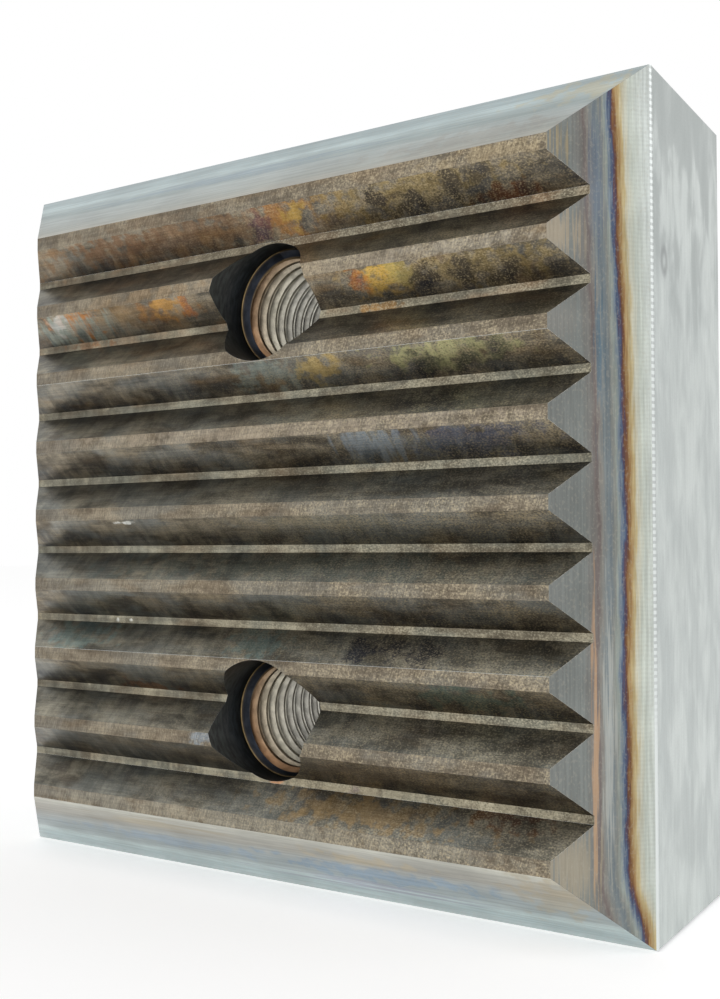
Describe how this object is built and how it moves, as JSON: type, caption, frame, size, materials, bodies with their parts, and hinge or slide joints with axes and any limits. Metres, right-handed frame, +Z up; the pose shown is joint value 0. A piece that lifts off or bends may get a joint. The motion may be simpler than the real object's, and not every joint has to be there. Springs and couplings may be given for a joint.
{
  "type": "machinable soft jaw",
  "caption": "Square steel soft jaw block with bevelled rims, a gripping face of parallel V grooves and tapped through holes with plain mouths.",
  "frame": {"origin": "middle of the lower narrow side, on the plane it stands on", "axes": "+Z up, -Y out of the grooved gripping face, +Y out of the flat back, +X along the grooves"},
  "size_m": [0.1, 0.035, 0.1],
  "materials": {
    "steel": "machined steel with heat tint and thin oxide on the grooved face"
  },
  "bodies": {
    "root": {"jaw_block": "steel"}
  },
  "joints": []
}
